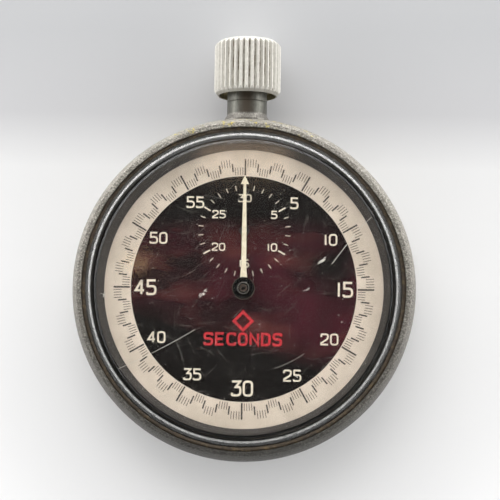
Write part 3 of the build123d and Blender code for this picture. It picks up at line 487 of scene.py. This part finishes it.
def neck_paint():
    """Gunmetal on the neck, with a warmer painted reflection along the middle of its front; blasted metal on the
    collar.
    """
    paint = Paint("neck_metal")
    streak = paint.noise(2.2, 4, 0.6, stretch=(1, 0.4, 1))
    metal = paint.ramp(streak, [(0.3, srgb(76, 76, 70)), (0.7, srgb(108, 107, 99))])
    middle = paint.math("ABSOLUTE", paint.split("X"))
    # painted reflection: a warmer stripe along the middle of the neck's front
    warm_painted_reflection = paint.mix(paint.step(middle, 1.6, 0.4), metal, srgb(84, 76, 66))
    grain = paint.ramp(paint.noise(5.5, 3, 0.6), [(0.32, srgb(64, 61, 56)), (0.68, srgb(156, 152, 144))])
    collar = paint.step(paint.split("Y"), 29.9, 29.6)
    paint.set(colour=paint.mix(collar, warm_painted_reflection, grain), roughness=0.42, metallic=0.55)
    paint.bump(streak, 0.01)
    return paint.material


def centre_arbor():
    """The sweep arbor: steel below, dark bronze at its open end, with painted shade near black in its hole."""
    paint = Paint("centre_arbor")
    height = paint.split("Z")
    bronze = paint.ramp(paint.noise(5), [(0.3, srgb(70, 60, 53)), (0.7, srgb(106, 93, 84))])
    lower = paint.mix(paint.step(height, 10.2, 10.3), srgb(150, 152, 156), bronze)
    # painted shade: the hole in the arbor's end is near black
    painted_hole_shade = paint.math("MULTIPLY", paint.step(paint.reach((0, 0)), 0.36, 0.33),
                        paint.step(height, 10.3, 10.35), clamp=True)
    paint.set(colour=paint.mix(painted_hole_shade, lower, srgb(16, 12, 10)), roughness=0.35, metallic=0.6)
    return paint.material


def ruby():
    """Synthetic ruby."""
    paint = Paint("ruby")
    paint.set(colour=(0.55, 0.01, 0.05), roughness=0.08, ior=1.76)
    return paint.material


def rubber():
    """Black rubber."""
    paint = Paint("rubber")
    tone = paint.ramp(paint.noise(3), [(0.3, srgb(22, 22, 22)), (0.7, srgb(34, 34, 33))])
    paint.set(colour=tone, roughness=0.8)
    return paint.material


def dress_cad():
    """Gives every CAD node a finish by its material slot, or by its own name."""
    finishes = {
        "case_paint": case_paint(),
        "back_steel": worn_metal("back_steel", srgb(82, 80, 75), srgb(126, 124, 118), 0.5, metallic=0.6,
                                 grain=4.0),
        "crystal": clear_plastic(),
        "gasket": old_gasket(),
        "flange": flange_black(),
        "dial": dial_lacquer(),
        "neck_metal": neck_paint(),
        "rubber": rubber(),
        "spring_steel": worn_metal("spring_steel", srgb(120, 124, 132), srgb(160, 163, 168), 0.3),
        "brass": worn_metal("brass", srgb(176, 142, 78), srgb(214, 184, 112), 0.32),
        "nickel": worn_metal("nickel", srgb(176, 172, 162), srgb(208, 204, 196), 0.38, grain=1.2,
                             stretch=(1, 0.12, 1)),
        "screw_steel": worn_metal("screw_steel", srgb(120, 122, 128), srgb(168, 170, 174), 0.25),
        "ruby": ruby(),
        "steel": worn_metal("steel", srgb(150, 152, 156), srgb(190, 191, 193), 0.28),
        "crown_metal": crown_metal(),
        "hand_paint": hand_paint(),
    }
    by_name = {"minute_hand": minute_hand_paint(), "seconds_arbor": centre_arbor()}
    for name, node in frame["nodes"].items():
        finish = by_name.get(name, finishes[slots[name]])
        if node.data.materials:
            for place in range(len(node.data.materials)):
                node.data.materials[place] = finish
        else:
            node.data.materials.append(finish)
        for face in node.data.polygons:
            face.use_smooth = False


# ---------------------------------------------------------------- mesh builders

class Build:
    """Collects closed shapes, in millimetres, into one mesh."""

    def __init__(self):
        self.points = []
        self.faces = []

    def prism(self, outline, low, high, heights=None):
        """An outline raised between two heights; heights(x, y) lifts each point by its place."""
        start = len(self.points)
        count = len(outline)
        lift = heights or (lambda x, y: 0.0)
        self.points += [(x, y, low + lift(x, y)) for x, y in outline]
        self.points += [(x, y, high + lift(x, y)) for x, y in outline]
        self.faces.append([start + n for n in reversed(range(count))])
        self.faces.append([start + count + n for n in range(count)])
        for n in range(count):
            after = (n + 1) % count
            self.faces.append([start + n, start + after, start + count + after, start + count + n])

    def ribbon(self, path, width, low, high, closed=False, heights=None):
        """A flat strip of even width along a path, mitred at its corners."""
        left, right = offset(path, width / 2, closed)
        lift = heights or (lambda x, y: 0.0)
        start = len(self.points)
        for one, other in zip(left, right):
            base, top = low + lift(*one), high + lift(*one)
            far_base, far_top = low + lift(*other), high + lift(*other)
            self.points += [(*one, base), (*one, top), (*other, far_top), (*other, far_base)]
        count = len(path)
        for n in range(count if closed else count - 1):
            a, b = start + 4 * n, start + 4 * ((n + 1) % count)
            for edge in range(4):
                after = (edge + 1) % 4
                self.faces.append([a + edge, a + after, b + after, b + edge])
        if not closed:
            end = start + 4 * (count - 1)
            self.faces.append([start + 3, start + 2, start + 1, start])
            self.faces.append([end, end + 1, end + 2, end + 3])

    def turned(self, profile, steps=240, centre=(0, 0), wobble=None):
        """A closed profile of (radius, height) points swept round a vertical axis."""
        start = len(self.points)
        count = len(profile)
        for step in range(steps):
            angle = math.tau * step / steps
            for n, (radius, height) in enumerate(profile):
                extra_radius, extra_height = wobble(angle, n) if wobble else (0.0, 0.0)
                reach = radius + extra_radius
                self.points.append((centre[0] + reach * math.cos(angle), centre[1] + reach * math.sin(angle),
                                    height + extra_height))
        for step in range(steps):
            here, there = start + step * count, start + ((step + 1) % steps) * count
            for n in range(count):
                after = (n + 1) % count
                self.faces.append([here + n, there + n, there + after, here + after])

    def finish(self, name, material, slot, body=ROOT, smooth=False):
        """Makes the object, and lets it ride on a body."""
        mesh = bpy.data.meshes.new(name)
        mesh.from_pydata([tuple(c * MM for c in point) for point in self.points], [], self.faces)
        mesh.materials.append(material)
        for face in mesh.polygons:
            face.use_smooth = smooth
        piece = bpy.data.objects.new(name, mesh)
        bpy.context.scene.collection.objects.link(piece)
        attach(piece, body)
        return piece


def offset(path, half, closed):
    """The two edges of a strip along a path."""
    left, right = [], []
    count = len(path)
    for n, (x, y) in enumerate(path):
        before = path[n - 1] if closed or n > 0 else path[n]
        after = path[(n + 1) % count] if closed or n < count - 1 else path[n]
        first = Vector((x - before[0], y - before[1]))
        second = Vector((after[0] - x, after[1] - y))
        first = first.normalized() if first.length > 1e-9 else second.normalized()
        second = second.normalized() if second.length > 1e-9 else first
        along = (first + second).normalized()
        normal = Vector((-along.y, along.x))
        stretch = half / max(0.45, normal.dot(Vector((-first.y, first.x))))
        left.append((x + normal.x * stretch, y + normal.y * stretch))
        right.append((x - normal.x * stretch, y - normal.y * stretch))
    return left, right


def rounded(corners, radii, closed=False):
    """A path through corners, each one rounded to its radius."""
    path = []
    count = len(corners)
    for n, (corner, radius) in enumerate(zip(corners, radii)):
        if radius == 0 or (not closed and n in (0, count - 1)):
            path.append(corner)
            continue
        here = Vector(corner)
        back = Vector(corners[n - 1]) - here
        forward = Vector(corners[(n + 1) % count]) - here
        cut = min(radius, back.length * 0.49, forward.length * 0.49)
        start, end = here + back.normalized() * cut, here + forward.normalized() * cut
        for step in range(6):
            t = step / 5
            point = start * (1 - t) ** 2 + here * 2 * t * (1 - t) + end * t ** 2
            path.append((point.x, point.y))
    return path


# ---------------------------------------------------------------- dial printing

# Strokes in a cell 1 wide and 1 high: across, up, and 1 where the corner is rounded.
GLYPHS = {
    "0": [("ring", [(0, 0, 1), (1, 0, 1), (1, 1, 1), (0, 1, 1)])],
    "1": [("line", [(0.5, 0, 0), (0.5, 1, 0)])],
    "2": [("line", [(0, 0.74, 0), (0, 1, 1), (1, 1, 1), (1, 0.56, 1), (0, 0.14, 0), (0, 0, 0), (1, 0, 0)])],
    "3": [("line", [(0, 1, 0), (0.94, 1, 0), (0.46, 0.60, 0), (1, 0.60, 1), (1, 0, 1), (0, 0, 1),
                    (0, 0.18, 0)])],
    "4": [("line", [(0.70, 1, 0), (0, 0.27, 0), (1, 0.27, 0)]), ("line", [(0.70, 1.03, 0), (0.70, 0, 0)])],
    "5": [("line", [(1, 1, 0), (0.06, 1, 0), (0.06, 0.58, 0), (1, 0.58, 1), (1, 0, 1), (0, 0, 1),
                    (0, 0.14, 0)])],
    "S": [("line", [(1, 0.80, 0), (1, 1, 1), (0, 1, 1), (0, 0.52, 1), (1, 0.52, 1), (1, 0, 1), (0, 0, 1),
                    (0, 0.2, 0)])],
    "E": [("line", [(1, 1, 0), (0, 1, 0), (0, 0, 0), (1, 0, 0)]), ("line", [(0.1, 0.5, 0), (0.86, 0.5, 0)])],
    "C": [("line", [(1, 0.78, 0), (1, 1, 1), (0, 1, 1), (0, 0, 1), (1, 0, 1), (1, 0.22, 0)])],
    "O": [("ring", [(0, 0, 1), (1, 0, 1), (1, 1, 1), (0, 1, 1)])],
    "N": [("line", [(0, 0, 0), (0, 1, 0), (1, 0, 0), (1, 1, 0)])],
    "D": [("ring", [(0, 0, 0), (1, 0, 1), (1, 1, 1), (0, 1, 0)])],
}
# The share of a cell that a narrow figure takes up.
NARROW = {"1": 0.5}
# How far some numerals sit to the right of their true places.
SECOND_NUDGES = {15: 0.23, 45: 0.23}
MINUTE_NUDGES = {5: 0.2, 10: -0.1, 20: 0.45, 25: 0.45}


def write(build, text, centre, letters, low, high):
    """Upright stroke lettering centred on a point; a letter's height and width are outer sizes."""
    height, width, stroke, gap = letters
    advances = [width * NARROW.get(letter, 1) for letter in text]
    x = centre[0] - (sum(advances) + gap * (len(text) - 1)) / 2
    y = centre[1] - height / 2
    for letter, advance in zip(text, advances):
        inner_width, inner_height = width - stroke, height - stroke
        shift = (advance - width) / 2
        for kind, strokes in GLYPHS[letter]:
            corners = [(x + shift + stroke / 2 + u * inner_width, y + stroke / 2 + v * inner_height)
                       for u, v, _ in strokes]
            radii = [turn * width * CORNER_SHARE for _, _, turn in strokes]
            closed = kind == "ring"
            build.ribbon(rounded(corners, radii, closed), stroke, low, high, closed)
        x += advance + gap


def radial_bar(build, turns, tick, low, high, centre=(0, 0)):
    """A straight tick pointing at a centre."""
    inner, outer, width = tick
    build.ribbon([clock(inner, turns, centre), clock(outer, turns, centre)], width, low, high)


def make_seconds_ring():
    """The pale seconds ring and its fifth-second scale, which steps in and out each second."""
    enamel = Build()
    top = DIAL_TOP + PRINT
    enamel.turned([(RING_INNER, DIAL_TOP), (RING_OUTER, DIAL_TOP), (RING_OUTER, top), (RING_INNER, top)])
    enamel.finish("seconds_ring", ring_enamel(), "dial")
    ink = Build()
    for fifth in range(300):
        if fifth % 25 == 0:
            tick = FIVE_SECOND_TICK
        elif fifth % 5 == 0:
            tick = SECOND_TICK
        else:
            tick = ODD_FIFTH_TICK if fifth // 5 % 2 else EVEN_FIFTH_TICK
        radial_bar(ink, fifth / 300, tick, top, top + INK)
    ink.finish("seconds_scale", plain_print("scale_ink", srgb(30, 26, 24), srgb(52, 44, 38)), "dial")


def make_numerals(cream):
    """The seconds numerals, larger at each quarter, and the minute counter's scale and numerals."""
    numerals = Build()
    low, high = DIAL_TOP, DIAL_TOP + PRINT
    for second in range(5, 60, 5):
        letters = SECOND_LETTERS if second % 15 else QUARTER_LETTERS
        x, y = clock(SECOND_NUMERAL_RADIUS, second / 60)
        write(numerals, str(second), (x + SECOND_NUDGES.get(second, 0), y), letters, low, high)
    numerals.finish("seconds_numerals", cream, "dial")
    counter = Build()
    middle = (0, COUNTER_Y)
    for minute in range(30):
        turns = minute / 30
        if minute % 5 == 0:
            if minute % 15:
                radial_bar(counter, turns, FIVE_MINUTE_TICK, low, high, middle)
            x, y = clock(MINUTE_NUMERAL_RADIUS, turns, middle)
            write(counter, str(minute or 30), (x + MINUTE_NUDGES.get(minute, 0), y), MINUTE_LETTERS, low, high)
        else:
            radial_bar(counter, turns, MINUTE_TICK, low, high, middle)
    counter.finish("counter_scale", cream, "dial")


def make_red_mark():
    """A plain red lozenge and the word for the scale, below the centre."""
    mark = Build()
    low, high = DIAL_TOP, DIAL_TOP + PRINT
    lozenge = [(0, -3.9), (1.5, -5.4), (0, -6.9), (-1.5, -5.4)]
    mark.ribbon(lozenge, 0.45, low, high, closed=True)
    write(mark, "SECONDS", (0, -8.4), WORD_LETTERS, low, high)
    mark.finish("red_mark", plain_print("red_ink", srgb(196, 30, 40), srgb(150, 22, 32)), "dial")


def make_return_spring():
    """The crown's return spring, which shortens as the crown is pushed in; here it is a fixed coil at its rest
    length.
    """
    low, high = box_mm("crown_spring")
    wire, turns, steps, sides = 0.22, 5, 200, 10
    radius = high.x - wire
    first, travel = low.y + wire, high.y - low.y - 2 * wire
    coil = Build()
    for step in range(steps + 1):
        angle = math.tau * turns * step / steps
        outward = Vector((math.cos(angle), 0, math.sin(angle)))
        middle = outward * radius + Vector((0, first + travel * step / steps, CROWN_AXIS_Z))
        for side in range(sides):
            turn = math.tau * side / sides
            spoke = math.cos(turn) * outward + math.sin(turn) * Vector((0, 1, 0))
            coil.points.append(tuple(middle + wire * spoke))
    for step in range(steps):
        for side in range(sides):
            after = (side + 1) % sides
            here, there = step * sides, (step + 1) * sides
            coil.faces.append([here + side, here + after, there + after, there + side])
    coil.faces.append(list(reversed(range(sides))))
    coil.faces.append([steps * sides + side for side in range(sides)])
    finish = frame["nodes"]["crown_spring"].data.materials[0]
    spring = coil.finish("return_spring", finish, "spring_steel", smooth=True)
    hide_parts("crown_spring")
    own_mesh(spring)


# ---------------------------------------------------------------- wear and dirt

# Deeper chips in the crystal: centre, length, width and heading in degrees.
CHIPS = [((-6.5, -1.3), 2.0, 0.5, 38), ((12.9, 4.4), 2.3, 0.4, 36), ((10.4, -0.4), 1.3, 0.2, 30),
         ((16.2, -5.5), 0.3, 0.25, 0), ((-22.6, -1.6), 1.0, 0.5, 80), ((9.0, -14.5), 0.5, 0.3, 10)]
# The longest scratches: start, heading in degrees, length, width and bend in radians.
SCRATCHES = [((20.9, 11.7), 223, 2.8, 0.06, 0.05), ((18.2, 8.8), 232, 6.2, 0.08, 0.04),
             ((-20.0, -13.6), 25, 14.0, 0.05, 0.12), ((5.3, -13.2), 20, 5.5, 0.03, 0.3)]


def worn_plastic(name, alpha):
    """Whitened plastic along a scratch."""
    paint = Paint(name)
    paint.set(colour=paint.ramp(paint.noise(2, 3), [(0.3, srgb(186, 182, 170)), (0.7, srgb(228, 225, 215))]),
              roughness=0.6, alpha=alpha)
    return paint.material


def make_groove_dirt():
    """Crumbly brown dirt packed in the joint between the crystal and the case."""
    dice = random.Random(DIRT_SEED)
    waves = [(dice.randint(9, 90), dice.uniform(0, math.tau), dice.uniform(0.01, 0.04)) for _ in range(14)]

    def wobble(angle, n):
        lift = sum(size * math.sin(turns * angle + start) for turns, start, size in waves)
        return (0.0, max(-0.25, lift) if n in (2, 3) else 0.0)

    dirt = Build()
    inner, outer = GROOVE
    dirt.turned([(inner, GROOVE_TOP), (outer, GROOVE_TOP), (outer, GROOVE_TOP + 0.5), (inner, GROOVE_TOP + 0.4)],
                360, wobble=wobble)
    dirt.finish("groove_dirt", old_gasket(), "gasket", smooth=True)


def make_scratches():
    """Scratches, chips, specks and hairlines on the crystal's dome."""
    dice = random.Random(WEAR_SEED)
    marks = Build()
    hairs = Build()

    def lift(x, y):
        return min(dome_height(math.hypot(x, y)), CRYSTAL_TOP - MARK_HIGH)

    def scratch(build, start, heading, length, width, bend):
        steps = 5
        path = []
        x, y = start
        angle = math.radians(heading)
        for _ in range(steps + 1):
            path.append((x, y))
            x += math.cos(angle) * length / steps
            y += math.sin(angle) * length / steps
            angle += bend / steps
        if all(math.hypot(*point) < DOME_EDGE_RADIUS - 0.3 for point in path):
            build.ribbon(path, width, MARK_LOW, MARK_HIGH, heights=lift)

    def fleck(centre, length, width, heading):
        count = 7
        turn = math.radians(heading)
        outline = []
        for n in range(count):
            angle = math.tau * n / count
            u = length / 2 * math.cos(angle) * dice.uniform(0.7, 1.1)
            v = width / 2 * math.sin(angle) * dice.uniform(0.6, 1.2)
            outline.append((centre[0] + u * math.cos(turn) - v * math.sin(turn),
                            centre[1] + u * math.sin(turn) + v * math.cos(turn)))
        marks.prism(outline, MARK_LOW, MARK_HIGH, heights=lift)

    for long_scratch in SCRATCHES:
        scratch(marks, *long_scratch)
    for centre, length, width, heading in CHIPS:
        turn = math.radians(heading)
        for _ in range(CHIP_STROKES):
            along, across = dice.uniform(-0.4, 0.4) * length, dice.uniform(-0.5, 0.5) * width
            spread = (centre[0] + along * math.cos(turn) - across * math.sin(turn),
                      centre[1] + along * math.sin(turn) + across * math.cos(turn))
            fleck(spread, length * dice.uniform(0.15, 0.45), width * dice.uniform(0.15, 0.35), heading)
    for _ in range(SPECKS):
        place = clock(SPECK_REACH * math.sqrt(dice.random()), dice.random())
        size = dice.choice(SPECK_SIZES)
        fleck(place, size * dice.uniform(1, 2.2), size, dice.uniform(0, 180))
    for _ in range(HAIRLINES):
        place = clock(HAIRLINE_REACH * math.sqrt(dice.random()), dice.random())
        scratch(hairs, place, dice.gauss(50, 45), dice.uniform(0.4, 3.6), dice.choice(HAIRLINE_WIDTHS),
                dice.uniform(-0.2, 0.2))
    marks.finish("crystal_marks", worn_plastic("crystal_marks", 0.9), "crystal")
    hairs.finish("crystal_hairlines", worn_plastic("crystal_hairlines", 0.5), "crystal")


def make_scuffed_shoulder():
    """The whitened belt round the crystal's shoulder: partly rubbed plastic, partly a painted highlight."""
    belt = Build()
    outer, inner = [[(SHOULDER_CENTRE[0] + radius * math.cos(math.radians(angle)),
                      SHOULDER_CENTRE[1] + radius * math.sin(math.radians(angle))) for angle in BELT_ANGLES]
                    for radius in BELT_RADII]
    belt.turned(outer + inner[::-1], 360)
    paint = Paint("shoulder_scuff_and_highlight")
    # painted highlight: pale streaked colour, half see-through, along the shoulder
    streak = paint.ramp(paint.noise(1.6, 4, 0.7), [(0.35, srgb(168, 168, 166)), (0.6, srgb(236, 236, 234))])
    paint.set(colour=streak, roughness=0.35, alpha=0.27)
    belt.finish("shoulder_scuff_and_highlight", paint.material, "crystal", smooth=True)


def make_boss_edge():
    """The polished edge of the sweep hand's boss."""
    edge = Build()
    edge.turned([(0.86, HUB_TOP - 0.01), (0.95, HUB_TOP - 0.05), (0.97, HUB_TOP - 0.02), (0.90, HUB_TOP + 0.015)],
                64)
    edge.finish("boss_edge", worn_metal("polished_edge", srgb(140, 136, 130), srgb(176, 172, 165), 0.25),
                "steel", "seconds", smooth=True)


make_camera()
make_world()
make_floor()
soft_box("key", (-60, 260, 330), (0, 0, 0), size=(320, 200), watts=0.4)
soft_box("overhead_strip", (-14, 132, 380), (0, 12, 10), size=(75, 26), watts=0.011, colour=(1.0, 0.72, 0.48))
soft_box("small_lamp", (-106, 45, 400), (0, 0, 10), size=(22, 12), watts=0.0022, colour=(1.0, 0.72, 0.36))

dress_cad()
make_seconds_ring()
make_numerals(plain_print("cream_ink", srgb(228, 219, 200), srgb(214, 203, 182)))
make_red_mark()
make_groove_dirt()
make_scratches()
make_scuffed_shoulder()
make_boss_edge()
make_return_spring()

bpy.context.scene.view_settings.view_transform = "Standard"
